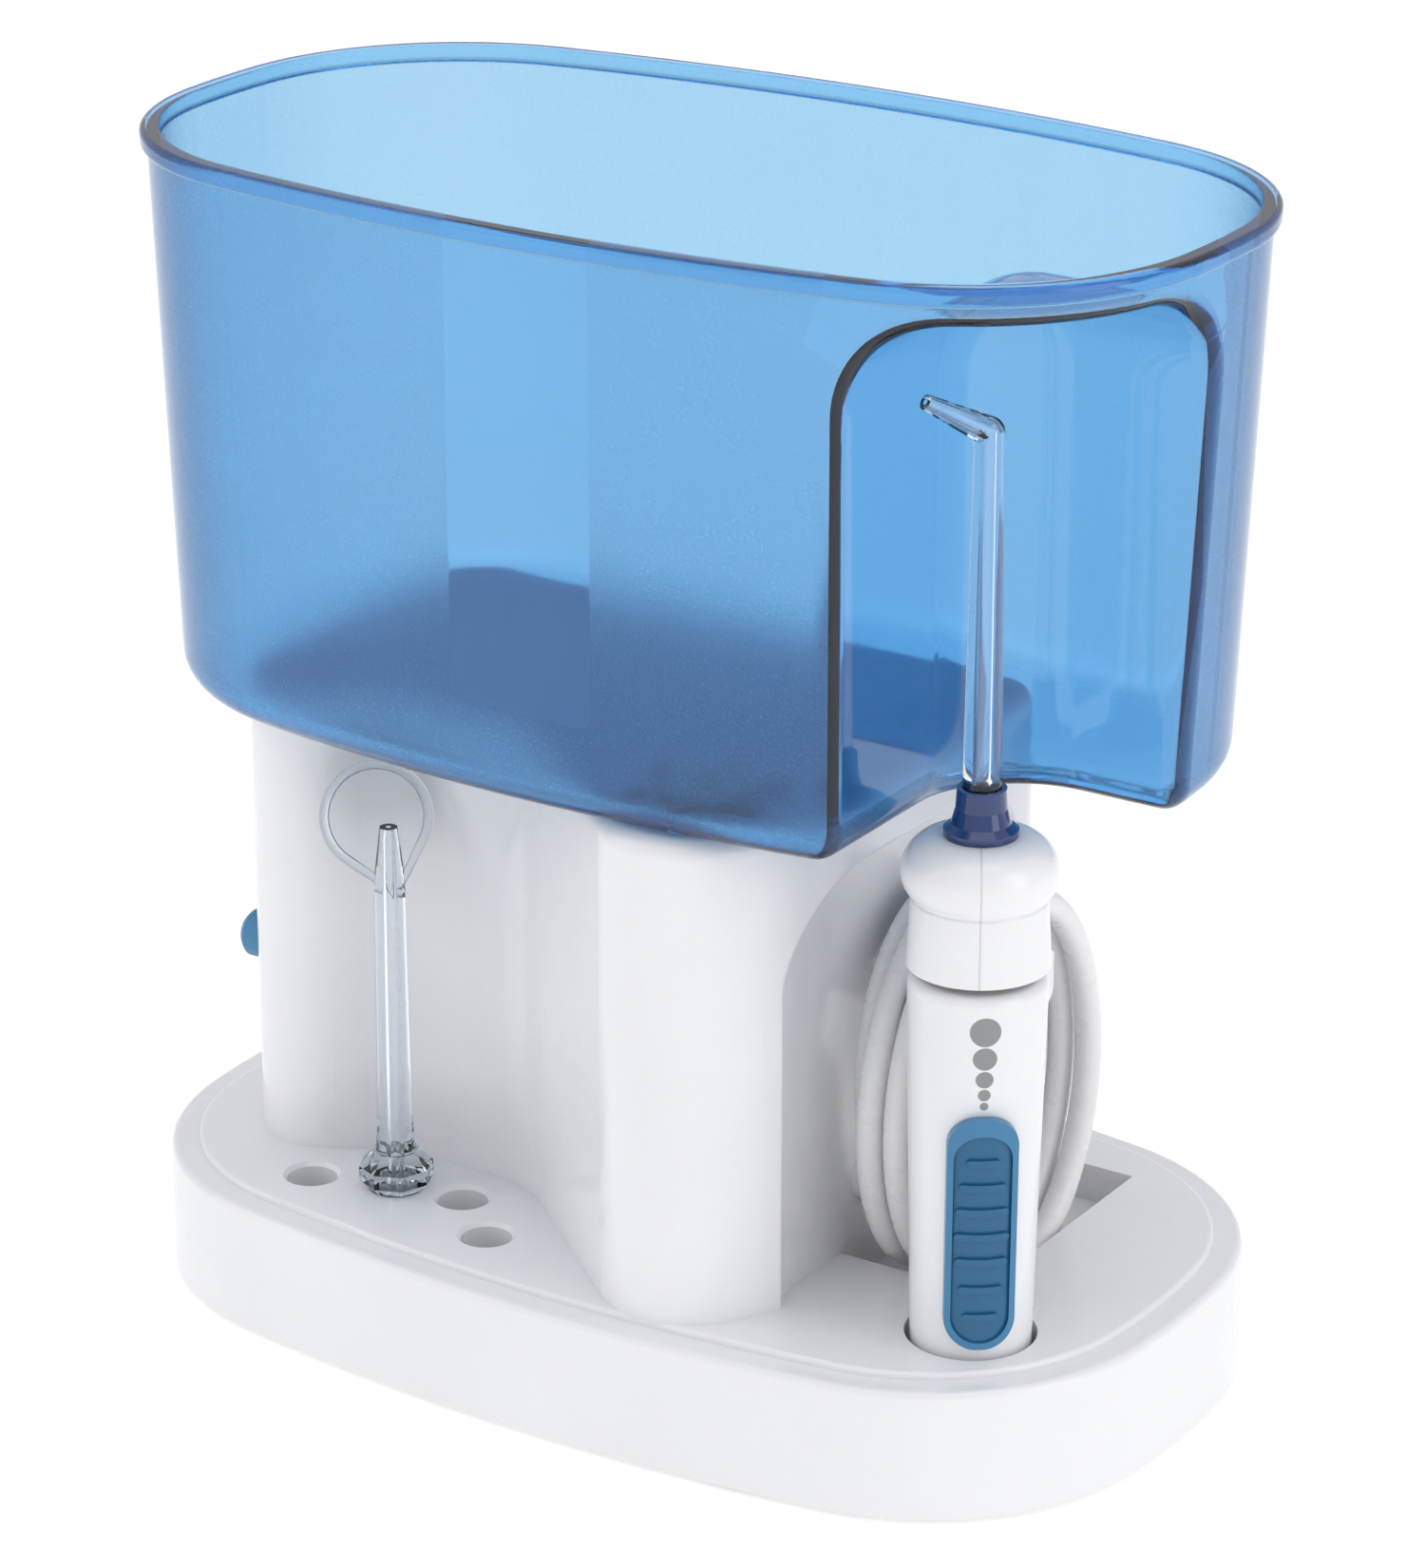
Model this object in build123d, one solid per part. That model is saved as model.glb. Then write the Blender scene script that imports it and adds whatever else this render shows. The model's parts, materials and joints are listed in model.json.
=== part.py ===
from build123d import *
from math import atan2, cos, degrees, hypot, pi, radians, sin, sqrt, tan
import os

# A countertop water flosser. Millimetres: X along the length, -Y to the front, +Z up,
# origin under the middle of the base on the surface that it stands on.

# Base and pump tower, one white moulding
BASE_LENGTH = 208.0
BASE_WIDTH = 125.2
BASE_RADII = (414.0, 150.0, 47.5)  # side, end and corner arcs of the outline
FOOT_DROP = 1.0  # the skirt stops short of the table by this much
LEDGE_TOP = 25.6
PLATEAU_TOP = 26.9
PLATEAU_INSET = 5.3
WALL = 2.5
TOWER_TOP = 118.4
TOWER_END_X = 47.0  # flat end face behind the hose coil
TOWER_LEFT_X = -84.0
TOWER_FRONT_Y = -22.5  # front of the bay between the two lobes
TOWER_BACK_Y = 46.0

# Tank
TANK_BOTTOM = 118.5
TANK_TOP = 222.3
TANK_WALL = 2.2
TANK_FLOOR = 2.5
TANK_LOW = (99.1, 57.9, (368.0, 150.0, 45.7))  # half length, half width, radii
TANK_HIGH = (104.0, 58.0, (395.0, 150.0, 46.2))
RIM_BEAD = 1.2
RIM_HEIGHT = 3.6
POCKET_X = 61.2  # inner wall of the notch that clears the handle
POCKET_Y = -1.4
POCKET_TOP = 214.7
POCKET_RADIUS = 17.0
NOTCH_ROUNDING = 4.0
PORT_X, PORT_Y = 26.0, -36.0  # tank valve

# Handle, knob and tip share one upright axis
HANDLE_X, HANDLE_Y = 76.0, -28.3
HANDLE_TURN = 36.87  # turns a slider that faces -Y to where it faces
BARREL_BOTTOM, BARREL_TOP = 22.5, 95.6
BARREL_RADIUS, BARREL_SLOPE = 10.7, 0.0215
BARREL_WALL = 1.6
WELL_RADIUS = 11.8
WELL_FLOOR = 17.4
SPIGOT_AZIMUTH = 112.0  # the hose leaves the handle this way, level
SPIGOT_REACH = 14.5
SPIGOT_Z = 20.0
AT_HANDLE = Pos(HANDLE_X, HANDLE_Y) * Rot(0, 0, HANDLE_TURN)

# Thumb slider on the handle
SLIDER_Z = (29.5, 73.8)
SLIDER_WIDTH = 12.4
SLIDER_GAP = 0.25  # between the barrel and the slider's underside
SLIDER_PROUD = 1.9
SLIDER_TRAVEL = 14.0
GRIP_SURFACE = 1.3
LINK_Z = (37.0, 43.0)
RIBS = [(65.4, 5.9), (60.7, 8.2), (56.0, 9.2), (51.2, 9.6), (46.4, 9.1), (41.0, 7.9), (35.7, 6.3)]

# Jet tip, and the spare tip that leans in its hole
TIP_FOOT = 112.0
TIP_BEND = 192.5
NOZZLE_LENGTH = 14.0
NOZZLE_RISE = 29.0
NOZZLE_AZIMUTH = -120.0
SPARE_LEAN = 20.0
SPARE_FACING = 33.0

# Water hose
HOSE_DIAMETER = 5.0
COIL_Y, COIL_Z = 5.0, 58.0
COIL_OUTER = (29.5, 38.0)  # half sizes of the outside of the coil along Y and Z
COIL_LAYERS = 2
COIL_X = (45.9, 68.9)
COIL_NEAR_X = 65.1  # the coil's last turn passes the handle here
LEAD_OUT = [(49.5, -6.0, 45.05), (49.5, -6.0, 54.5), (52.6, -9.0, 65.0), (57.6, -11.5, 75.5)]
LEAD_IN = [(66.5, 6.0, 22.5), (66.6, -1.4, 21.6), (67.98, -8.46, 20.0), (70.46, -14.58, 20.0)]

# Trough under the coil, and its channel to the handle's well
TROUGH_X = (41.0, 70.0)
TROUGH_Y = (-15.0, 42.0)
TROUGH_FLOOR = 19.6
CHANNEL_FLOOR = 17.0
CHANNEL_WIDTH = 11.0
CHANNEL_REACH = 34.0

# Hose outlet in the tower's end wall, and the mains cord's gland in the back
OUTLET_Y, OUTLET_Z = -6.0, 40.0
OUTLET_X = 49.5
GLAND_X, GLAND_Z = -20.0, 14.0
GLAND_FACE = BASE_WIDTH / 2 - 0.5

# Holes that store spare tips
STORAGE_HOLES = [(-59.4, -40.7), (-43.3, -36.0), (-29.9, -33.6), (-17.3, -43.9)]
STORAGE_RADIUS = 4.7
STORAGE_FLOOR = 15.0

# Power button
BUTTON_Y, BUTTON_Z = -20.0, 62.5
BUTTON_RADIUS = 4.7
BUTTON_TIP_X = -89.4
BUTTON_TRAVEL = 2.5
SWITCH_X = (-72.0, -62.5)
SWITCH_HALF_DEPTH = 5.5
SWITCH_Z = (55.0, 70.0)

# Drive: motor, gears, eccentric and pump
GEAR_X, GEAR_Z = -37.0, 45.5
PINION_TEETH, GEAR_TEETH = 12, 48
MODULE = 1.0
PRESSURE_ANGLE = radians(25)
BACKLASH = 0.16
MOTOR_ANGLE = 140.0
GEAR_BACK, GEAR_FRONT = -1.0, -6.0
FRAME_FRONT, FRAME_BACK = 1.0, 4.0
ECCENTRIC = 3.0
ECCENTRIC_RADIUS = 8.0
ROD_LENGTH = 38.0
ROD_FRONT, ROD_BACK = -12.0, -8.0
PUMP_Y = -10.0
PISTON_RADIUS = 8.0
AXLE_RADIUS = 2.5
SHAFT_RADIUS = 1.5
RUNNING_GAP = 0.05

MOTOR_REACH = MODULE * (PINION_TEETH + GEAR_TEETH) / 2
MOTOR_X = GEAR_X + MOTOR_REACH * cos(radians(MOTOR_ANGLE))
MOTOR_Z = GEAR_Z + MOTOR_REACH * sin(radians(MOTOR_ANGLE))
MOTOR_RADIUS = 15.0
MOTOR_END = 32.0

# Pump: cylinder along X, closed by a gasket and a head
PISTON_REST_X = GEAR_X + ECCENTRIC + ROD_LENGTH  # the ball end's place, with the piston right home
CYLINDER_X = (-11.0, 21.0)
CHAMBER_END = 18.5
CROWN = (13.8, 17.0)
SEAL_GROOVE = (14.5, 16.1)
GASKET_END = CYLINDER_X[1] + 0.8
HEAD_END = GASKET_END + 10.0
HEAD_Y = (-21.0, -0.5)
HEAD_Z = (34.0, 57.0)
INLET = (-10.0, 50.5)
OUTLET = (OUTLET_Y, OUTLET_Z)
HEAD_SCREWS = [(y, z) for y in (-18.6, -2.4) for z in (36.0, 54.6)]
LUG_OFFSET = 14.0  # above and below the cylinder's axis
PUMP_LUGS = [(2.0, GEAR_Z - LUG_OFFSET), (2.0, GEAR_Z + LUG_OFFSET)]

# Fasteners and feet
HOUSING_SCREWS = [(-90.0, -22.0), (-90.0, 22.0), (92.0, 22.0), (60.0, -49.0)]
FEET = [(-72.0, -38.0), (-72.0, 38.0), (72.0, 38.0), (44.0, -50.0)]
FRAME_SCREWS = [(-66.0, 12.0), (-66.0, 36.0), (14.0, 12.0), (14.0, 36.0)]
PLATE_BOTTOM, PLATE_TOP = 2.0, 4.4
FRAME_FOOT = 7.2


def solid(profile, low, high):
    """A flat profile in X and Y raised from one height to another."""
    return extrude(Pos(0, 0, low) * profile, high - low)


def solid_x(profile, low, high):
    """A profile drawn in Y and Z, extruded along X."""
    return extrude(Pos(low, 0, 0) * (Plane.YZ * profile), high - low)


def solid_y(profile, low, high):
    """A profile drawn in X and Z, extruded along Y."""
    return extrude(Pos(0, high, 0) * (Plane.XZ * profile), high - low)


def disc(radius, across=0.0, up=0.0):
    return Pos(across, up) * Circle(radius)


def ring(outer, inner, across=0.0, up=0.0):
    return disc(outer, across, up) - disc(inner, across, up)


def block(x_range, y_range, z_range):
    """A box given by its limits."""
    sides = [high - low for low, high in (x_range, y_range, z_range)]
    middle = [(low + high) / 2 for low, high in (x_range, y_range, z_range)]
    return Pos(*middle) * Box(*sides)


def turned(points, roundings=()):
    """A solid of revolution about Z from (radius, height) points, with some corners rounded."""
    face = make_face(Polyline(*points, close=True))
    for (radius, height), rounding in roundings:
        corner = min(face.vertices(), key=lambda v: hypot(v.X - radius, v.Y - height))
        face = fillet(corner, rounding)
    return revolve(Plane.XZ * face, Axis.Z)


def rounded_polygon(corners):
    """A closed outline from ((x, y), radius) corners."""
    points = [point for point, radius in corners]
    radii = [radius for point, radius in corners]
    return make_face(FilletPolyline(*points, radius=radii, close=True))


def oval(half_length, half_width, radii):
    """A smooth outline of eight tangent arcs, from its side, end and corner radii."""
    side_radius, end_radius, corner_radius = radii
    side = Vector(0, half_width - side_radius)
    end = Vector(half_length - end_radius, 0)
    to_side, to_end = side_radius - corner_radius, end_radius - corner_radius
    span = (end - side).length
    unit = (end - side).normalized()
    along = (to_side**2 - to_end**2 + span**2) / (2 * span)
    across = sqrt(to_side**2 - along**2)
    corner = side + unit * along + Vector(unit.Y, -unit.X) * across
    first = side + (corner - side).normalized() * side_radius
    last = end + (corner - end).normalized() * end_radius
    middle = corner + ((first - corner) + (last - corner)).normalized() * corner_radius
    edges = []
    for mx, my in ((1, 1), (1, -1), (-1, -1), (-1, 1)):
        quarter = [(p.X * mx, p.Y * my) for p in (first, middle, last)]
        if mx * my > 0:
            edges.append(ThreePointArc(*quarter))
            edges.append(ThreePointArc(quarter[2], (half_length * mx, 0), (last.X * mx, -last.Y * my)))
        else:
            edges.append(ThreePointArc(*reversed(quarter)))
            edges.append(ThreePointArc(quarter[0], (0, half_width * my), (-first.X * mx, first.Y * my)))
    return make_face(edges)


def inset_oval(half_length, half_width, radii, inset):
    return oval(half_length - inset, half_width - inset, tuple(r - inset for r in radii))


def base_outline(inset=0.0):
    return inset_oval(BASE_LENGTH / 2, BASE_WIDTH / 2, BASE_RADII, inset)


def tower_outline(inset=0.0):
    """Plan of the pump tower: a small lobe at the left, a bay, and a large lobe at the right."""
    outline = rounded_polygon(
        [
            ((TOWER_LEFT_X, TOWER_BACK_Y), 14),
            ((TOWER_LEFT_X, -32.0), 13),
            ((-66.0, -32.0), 15),
            ((-52.0, TOWER_FRONT_Y), 19),
            ((-22.4, TOWER_FRONT_Y), 25),
            ((27.4, -63.9), 16.5),
            ((TOWER_END_X, -37.6), 44),
            ((TOWER_END_X, TOWER_BACK_Y), 7),
        ]
    )
    return offset(outline, amount=-inset) if inset else outline


def tube_path(points):
    """Straight runs joined by tangent arcs, each as large as its two runs allow."""
    spots = [Vector(*p) for p in points]
    radii = []
    for before, here, after in zip(spots, spots[1:], spots[2:]):
        turn = radians((here - before).get_angle(after - here))
        radii.append(0.45 * min((here - before).length, (after - here).length) / tan(turn / 2))
    return FilletPolyline(*points, radius=radii), radii


def tube(points, radius, name, bore=0.0):
    """A round tube along a path; prints the arc radii, length and volume."""
    path, radii = tube_path(points)
    start = Plane(origin=path @ 0, z_dir=path % 0)
    section = Circle(radius) - Circle(bore) if bore else Circle(radius)
    body = sweep(start * section, path=path)
    expected = section.area * path.length
    listed = ", ".join(f"{r:.0f}" for r in radii)
    print(f"{name}: radii {listed} mm, length {path.length:.1f} mm, volume ratio {body.volume / expected:.3f}")
    return body


def screw(head_radius, head_height, shank_radius, length):
    """A pan head screw pointing down, with the underside of its head at the origin and a cross in it."""
    body = solid(disc(head_radius), 0, head_height) + solid(disc(shank_radius), -length, 0)
    slot = Box(head_radius * 1.1, 0.6, head_height)
    return body - Pos(0, 0, head_height) * (slot + Rot(0, 0, 90) * slot)


# ---------------------------------------------------------------- housing


def dish(grow=0.0):
    """The recess in the tower's end face that the hose coil sits in."""
    low_y, high_y, top = -38.5 - grow, 37.0 + grow, 106.0 + grow
    outline = rounded_polygon(
        [
            ((low_y, PLATEAU_TOP - 12), 2),
            ((low_y, top), 20 + grow),
            ((high_y, top), 20 + grow),
            ((high_y, PLATEAU_TOP - 12), 2),
        ]
    )
    return solid_x(outline, TROUGH_X[0] - grow, TOWER_END_X + 10)


def tower_body():
    tower = solid(tower_outline(), LEDGE_TOP - 2, TOWER_TOP)
    tower = fillet(tower.edges().group_by(Axis.Z)[-1], 3.5)
    tower -= dish()
    at_end = [e for e in tower.edges() if abs(e.center().X - TOWER_END_X) < 0.6]
    rim = [e for e in at_end if e.center().Z > 100]
    return fillet(rim, 1.2)


def trough_block(grow):
    """The trough under the coil and its channel, grown for the moulding round them."""
    low_x, high_x = TROUGH_X
    trough = block(
        (low_x - grow, high_x + grow),
        (TROUGH_Y[0] - grow, TROUGH_Y[1] + grow),
        (TROUGH_FLOOR - grow, PLATEAU_TOP + 1 - grow),
    )
    channel = block(
        (-CHANNEL_WIDTH / 2 - grow, CHANNEL_WIDTH / 2 + grow),
        (0, CHANNEL_REACH + grow),
        (CHANNEL_FLOOR - grow, PLATEAU_TOP + 1 - grow),
    )
    return trough + Pos(HANDLE_X, HANDLE_Y) * Rot(0, 0, SPIGOT_AZIMUTH - 90) * channel


def housing():
    """Skirt, plateau and pump tower in one moulding, open underneath."""
    skirt = solid(base_outline(), FOOT_DROP, LEDGE_TOP)
    skirt = fillet(skirt.edges().group_by(Axis.Z)[-1], 1.4)
    plateau = solid(base_outline(PLATEAU_INSET), LEDGE_TOP - 2, PLATEAU_TOP)
    plateau = fillet(plateau.edges().group_by(Axis.Z)[-1], 0.9)
    body = skirt + plateau + tower_body()

    cavity = solid(base_outline(WALL), 0, LEDGE_TOP - WALL)
    cavity += solid(base_outline(PLATEAU_INSET + WALL), LEDGE_TOP - WALL - 1, PLATEAU_TOP - WALL)
    tower_cavity = solid(tower_outline(WALL), LEDGE_TOP - WALL - 1, TOWER_TOP - WALL)
    body -= cavity + (tower_cavity - dish(WALL))

    # pockets sunk into the plateau, each with its own wall and floor
    under = PLATEAU_TOP - 1.5
    inside = solid(base_outline(WALL / 2), PLATE_TOP, under)
    well = solid(disc(WELL_RADIUS + 1.8, HANDLE_X, HANDLE_Y), WELL_FLOOR - 2, under)
    body += (well + trough_block(2.0)) & inside
    for x, y in STORAGE_HOLES:
        body += solid(disc(STORAGE_RADIUS + 1.5, x, y), STORAGE_FLOOR - 1.5, under)
    for x, y in HOUSING_SCREWS:
        body += solid(disc(3.5, x, y), PLATE_TOP, under)

    body -= solid(disc(WELL_RADIUS, HANDLE_X, HANDLE_Y), WELL_FLOOR, PLATEAU_TOP + 1)
    body -= trough_block(0)
    for x, y in STORAGE_HOLES:
        hole = solid(disc(STORAGE_RADIUS, x, y), STORAGE_FLOOR, PLATEAU_TOP + 1)
        lead = Pos(x, y, PLATEAU_TOP - 0.35) * Cone(STORAGE_RADIUS, STORAGE_RADIUS + 0.8, 0.8)
        body -= hole + lead
    for x, y in HOUSING_SCREWS:
        body -= solid(disc(1.25, x, y), PLATE_TOP, 16)
    body -= solid(disc(9.0, PORT_X, PORT_Y), TOWER_TOP - 5, TOWER_TOP + 1)
    body -= solid_x(disc(BUTTON_RADIUS + 0.3, BUTTON_Y, BUTTON_Z), TOWER_LEFT_X - 2, -76)
    body -= solid_x(disc(3.2, OUTLET_Y, OUTLET_Z), TROUGH_X[0] - WALL - 1, TROUGH_X[0] + 1)
    body -= solid_y(disc(5.05, GLAND_X, GLAND_Z), BASE_WIDTH / 2 - 6, BASE_WIDTH / 2 + 1)
    body -= solid_y(disc(6.6, GLAND_X, GLAND_Z), GLAND_FACE - 1.2, BASE_WIDTH / 2 + 1)
    return body


def bottom_plate():
    plate = solid(base_outline(WALL + 0.3), PLATE_BOTTOM, PLATE_TOP)
    for x, y in HOUSING_SCREWS:
        plate -= solid(disc(1.35, x, y), 0, PLATE_TOP + 1) + solid(disc(3.0, x, y), 0, PLATE_BOTTOM + 1.3)
    for x, y in FEET:
        plate -= solid(disc(2.05, x, y), 0, PLATE_TOP + 1)
    for x, y in FRAME_SCREWS:
        plate -= solid(disc(1.55, x, y), 0, PLATE_TOP + 1)
    return plate


def rubber_feet():
    foot = solid(disc(6.0), 0, PLATE_BOTTOM) + solid(disc(2.0), PLATE_BOTTOM, PLATE_TOP)
    foot = fillet(foot.edges().group_by(Axis.Z)[0], 0.5)
    return [Pos(x, y) * foot for x, y in FEET]


def housing_screws():
    body = Rot(180, 0, 0) * screw(2.8, 1.2, 1.2, 11.0)
    return [Pos(x, y, PLATE_BOTTOM + 1.3) * body for x, y in HOUSING_SCREWS]


# ---------------------------------------------------------------- fittings on the housing


def hose_outlet():
    """Elbow through the tower's end wall: a nipple inside, and a spout that points up into the hose."""
    wall_x = TROUGH_X[0]
    level = solid_x(disc(2.9, OUTLET_Y, OUTLET_Z), wall_x - WALL - 0.5, OUTLET_X)
    level += solid_x(disc(5.5, OUTLET_Y, OUTLET_Z), wall_x, wall_x + 1.6)
    level += solid_x(disc(1.9, OUTLET_Y, OUTLET_Z), wall_x - WALL - 3.5, wall_x - WALL)
    elbow = Pos(OUTLET_X, OUTLET_Y, OUTLET_Z) * Sphere(2.9)
    spout = Pos(OUTLET_X, OUTLET_Y) * solid(disc(2.9), OUTLET_Z, OUTLET_Z + 5)
    bore = solid_x(disc(1.0, OUTLET_Y, OUTLET_Z), wall_x - WALL - 8, OUTLET_X)
    bore += Pos(OUTLET_X, OUTLET_Y) * solid(disc(1.0), OUTLET_Z - 1, OUTLET_Z + 6)
    return level + elbow + spout - bore


def hose_hook():
    """Peg on the end wall that the coil hangs on, with the same curve as the coil's inside."""
    half_y = COIL_OUTER[0] - COIL_LAYERS * HOSE_DIAMETER - 0.4
    half_z = COIL_OUTER[1] - COIL_LAYERS * HOSE_DIAMETER - 0.4
    saddle = Pos(COIL_Y, COIL_Z) * Ellipse(half_y, half_z)
    keep = Pos(COIL_Y, COIL_Z + 24) * RectangleRounded(20, 20, 3)
    return solid_x(saddle & keep, TROUGH_X[0], COIL_X[1] - 2)


def cord_gland():
    """Bush in the back of the skirt where a mains cord would come in."""
    bush = solid_y(ring(5.0, 3.4, GLAND_X, GLAND_Z), BASE_WIDTH / 2 - 7, GLAND_FACE)
    bush += solid_y(ring(6.5, 3.4, GLAND_X, GLAND_Z), GLAND_FACE - 1.2, GLAND_FACE)
    return bush + solid_y(ring(6.5, 5.0, GLAND_X, GLAND_Z), BASE_WIDTH / 2 - 6.2, BASE_WIDTH / 2 - 4.4)


def tank_port():
    """Cup under the tower's top that the tank's valve sits in, with a nipple below."""
    cup = turned(
        [
            (1.2, 96.0), (2.0, 96.0), (2.0, 104.0), (8.9, 104.0), (8.9, 112.6), (11.5, 112.6),
            (11.5, 115.8), (8.9, 115.8), (8.9, 118.0), (8.3, 118.0), (8.3, 106.0), (1.2, 106.0),
        ]
    )
    return Pos(PORT_X, PORT_Y) * cup


def port_seal():
    return Pos(PORT_X, PORT_Y, 112.0) * Torus(7.25, 0.95)


# ---------------------------------------------------------------- drive


def involute(angle):
    return tan(angle) - angle


def gear_face(teeth, backlash, turn):
    """An involute spur gear's outline, with a tooth centred on the angle turn."""
    pitch_radius = MODULE * teeth / 2
    base_radius = pitch_radius * cos(PRESSURE_ANGLE)
    root, tip = pitch_radius - 1.25 * MODULE, pitch_radius + 0.95 * MODULE
    half_tooth = pi / (2 * teeth) - backlash / (2 * pitch_radius)
    start = max(base_radius, root)
    flank = []
    for step in range(5):
        radius = start + (tip - start) * step / 4
        here = atan2(sqrt(radius**2 - base_radius**2), base_radius)
        flank.append((radius, half_tooth + involute(PRESSURE_ANGLE) - involute(here)))
    flank = [(root, flank[0][1] + 0.002)] + flank if root < start else flank
    points = []
    for tooth in range(teeth):
        middle = turn + 2 * pi * tooth / teeth
        for radius, half in flank:
            points.append((radius * cos(middle - half), radius * sin(middle - half)))
        for radius, half in reversed(flank):
            points.append((radius * cos(middle + half), radius * sin(middle + half)))
    return make_face(Polyline(*points, close=True))


def pinion():
    """Brass pinion on the motor shaft, one tooth pointing at the drive gear's centre."""
    face = gear_face(PINION_TEETH, BACKLASH, radians(MOTOR_ANGLE + 180)) - disc(SHAFT_RADIUS + 0.01)
    return solid_y(Pos(MOTOR_X, MOTOR_Z) * face, GEAR_FRONT, GEAR_BACK)


def drive_gear():
    """Large gear with an eccentric on its front; a gap between two teeth faces the pinion."""
    face = gear_face(GEAR_TEETH, BACKLASH, radians(MOTOR_ANGLE) + pi / GEAR_TEETH)
    gear = solid_y(Pos(GEAR_X, GEAR_Z) * face, GEAR_FRONT, GEAR_BACK)
    gear -= solid_y(ring(21.0, 12.5, GEAR_X, GEAR_Z), GEAR_FRONT - 1, GEAR_FRONT + 1.5)
    for step in range(6):
        angle = radians(60 * step + 30)
        gear -= solid_y(disc(3.2, GEAR_X + 16.8 * cos(angle), GEAR_Z + 16.8 * sin(angle)), GEAR_FRONT, 0)
    gear += solid_y(disc(5.0, GEAR_X, GEAR_Z), GEAR_BACK, FRAME_FRONT - 0.3)
    gear += solid_y(disc(ECCENTRIC_RADIUS, GEAR_X + ECCENTRIC, GEAR_Z), ROD_FRONT - 0.2, GEAR_FRONT)
    gear -= solid_y(disc(AXLE_RADIUS + RUNNING_GAP, GEAR_X, GEAR_Z), ROD_FRONT - 1, FRAME_FRONT)
    return gear - solid_y(disc(4.4, GEAR_X, GEAR_Z), ROD_FRONT - 1, -7.4)


def gear_axle():
    axle = solid_y(disc(AXLE_RADIUS, GEAR_X, GEAR_Z), -9.2, 9.0)
    return axle - solid_y(ring(3.0, 2.0, GEAR_X, GEAR_Z), -8.4, -7.5)


def axle_clip():
    clip = ring(4.1, 2.02, GEAR_X, GEAR_Z) - Pos(GEAR_X, GEAR_Z - 3) * Rectangle(2.6, 4)
    return solid_y(clip, -8.3, -7.6)


def connecting_rod():
    """Strap round the eccentric, a flat shank, and a ball end inside the piston."""
    centre_x = GEAR_X + ECCENTRIC
    end_x = centre_x + ROD_LENGTH
    strap = disc(11.0, centre_x, GEAR_Z)
    shank = Pos((centre_x + end_x) / 2, GEAR_Z) * Rectangle(ROD_LENGTH - 4, 4)
    body = solid_y(strap + shank, ROD_FRONT, ROD_BACK)
    body -= solid_y(disc(ECCENTRIC_RADIUS + RUNNING_GAP, centre_x, GEAR_Z), ROD_FRONT - 1, ROD_BACK + 1)
    return body + Pos(end_x, PUMP_Y, GEAR_Z) * Sphere(3.0)


def drive_frame():
    """Upright plate behind the gear, on a foot that stands on four rubber mounts."""
    plate = make_face(
        Polyline(
            (-72, FRAME_FOOT), (24, FRAME_FOOT), (24, 62), (-10, 62), (-45, 83), (-79, 83), (-79, 48),
            (-72, 40), close=True,
        )
    )
    frame = solid_y(fillet(plate.vertices(), 2), FRAME_FRONT, FRAME_BACK)
    frame += block((-72, 24), (FRAME_FRONT, 42), (FRAME_FOOT, FRAME_FOOT + 3))
    for x in (-44.0, 6.0):
        corners = [(FRAME_BACK - 1, FRAME_FOOT), (36, FRAME_FOOT), (FRAME_BACK - 1, 40)]
        gusset = make_face(Polyline(*corners, close=True))
        frame += solid_x(gusset, x, x + 2.5)
    frame += solid_y(disc(5.5, GEAR_X, GEAR_Z), FRAME_BACK, 8.0)
    frame -= solid_y(disc(AXLE_RADIUS + 0.01, GEAR_X, GEAR_Z), FRAME_FRONT - 1, 10)
    frame -= solid_y(disc(7.0, MOTOR_X, MOTOR_Z), FRAME_FRONT - 1, FRAME_BACK + 1)
    for x, z in motor_screw_places():
        frame -= solid_y(disc(1.4, x, z), 0, 5) + solid_y(disc(2.8, x, z), 0, FRAME_FRONT + 1.5)
    for x, z in PUMP_LUGS:
        frame -= solid_y(disc(1.4, x, z), 0, 5)
    for x, y in FRAME_SCREWS:
        frame -= solid(disc(1.6, x, y), FRAME_FOOT - 1, FRAME_FOOT + 4)
    return frame


def frame_mounts():
    return [solid(ring(4.5, 1.65, x, y), PLATE_TOP, FRAME_FOOT) for x, y in FRAME_SCREWS]


def frame_screws():
    body = screw(3.2, 2.0, 1.5, 7.5)
    return [Pos(x, y, FRAME_FOOT + 3) * body for x, y in FRAME_SCREWS]


def motor_screw_places():
    return [(MOTOR_X + side * 9.5, MOTOR_Z) for side in (-1, 1)]


def motor_screws():
    body = Rot(90, 0, 0) * screw(2.6, 1.3, 1.3, 5.0)
    return [Pos(x, FRAME_FRONT + 1.5, z) * body for x, z in motor_screw_places()]


def motor_can():
    can = solid_y(disc(MOTOR_RADIUS, MOTOR_X, MOTOR_Z), FRAME_BACK, MOTOR_END)
    can -= solid_y(disc(MOTOR_RADIUS - 1, MOTOR_X, MOTOR_Z), FRAME_BACK + 1.2, MOTOR_END + 1)
    can -= solid_y(disc(3.05, MOTOR_X, MOTOR_Z), FRAME_BACK - 1, FRAME_BACK + 2)
    for x, z in motor_screw_places():
        can -= solid_y(disc(1.35, x, z), FRAME_BACK - 1, FRAME_BACK + 2)
    return can


def motor_bearing():
    return solid_y(ring(3.0, SHAFT_RADIUS + RUNNING_GAP, MOTOR_X, MOTOR_Z), FRAME_BACK - 1, FRAME_BACK + 4)


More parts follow.
